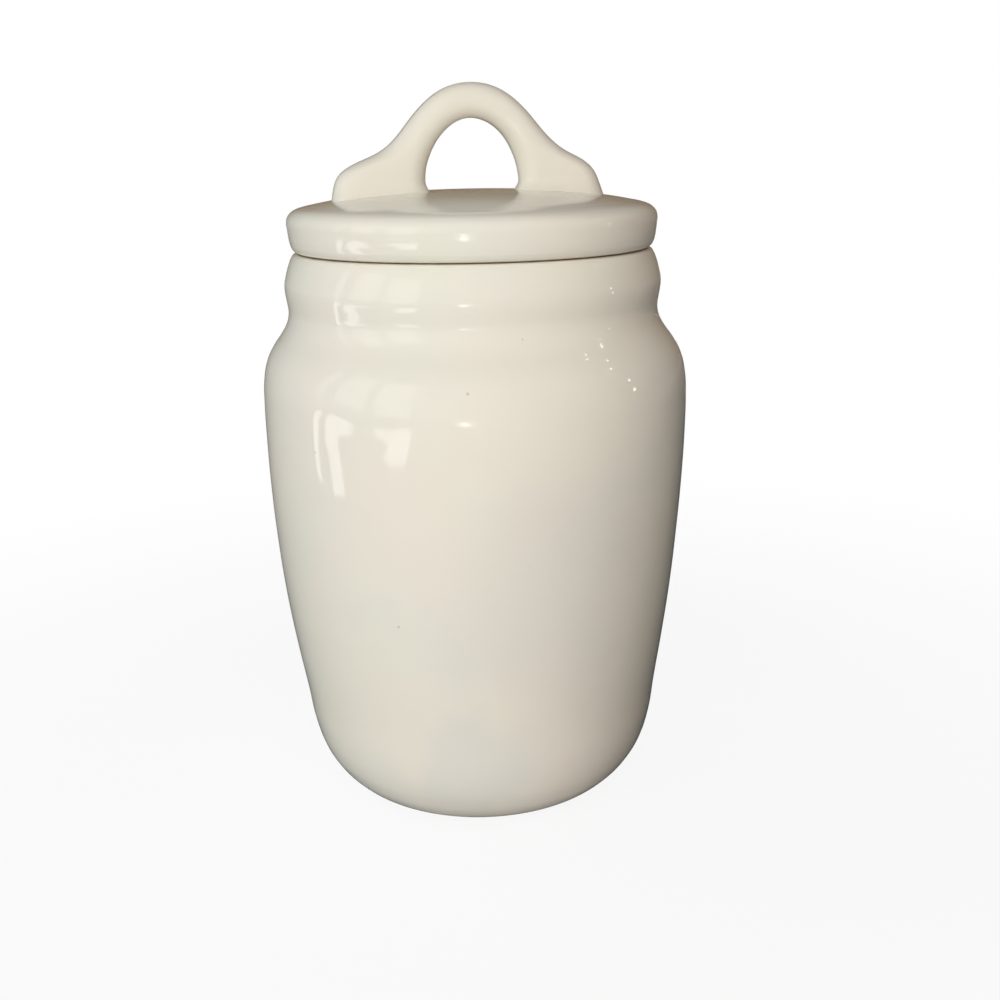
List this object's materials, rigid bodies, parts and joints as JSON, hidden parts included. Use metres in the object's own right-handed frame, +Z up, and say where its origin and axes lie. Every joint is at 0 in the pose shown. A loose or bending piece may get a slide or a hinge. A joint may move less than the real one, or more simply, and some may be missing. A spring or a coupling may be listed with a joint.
{
  "type": "lidded storage jar",
  "caption": "Glazed stoneware storage jar on a foot ring, tapered body, beaded neck, and a thick crowned lid with an arched handle and a sealing ring that lifts off and turns.",
  "frame": {"origin": "centre of the foot ring, on the surface that the jar stands on", "axes": "+Z up along the jar's axis, +X along the length of the lid's handle, -Y towards the viewer of the picture"},
  "size_m": [0.115, 0.115, 0.1939],
  "materials": {
    "cream_glaze": "glossy cream white glaze with faint grey and pink clouds",
    "sealing_rubber": "satin, milky translucent silicone"
  },
  "bodies": {
    "jar": {"jar_body": "cream_glaze"},
    "seal": {"seal_ring": "sealing_rubber"},
    "lid": {"lid": "cream_glaze", "lid_handle": "cream_glaze"}
  },
  "joints": [
    {"name": "lid_lift", "type": "slide", "parent": "jar", "child": "seal", "axis": [0, 0, 1], "range_m": [0, 0.1]},
    {"name": "lid_turn", "type": "hinge", "parent": "seal", "child": "lid", "pos_m": [0, 0, 0.1514], "axis": [0, 0, 1], "continuous": true}
  ]
}
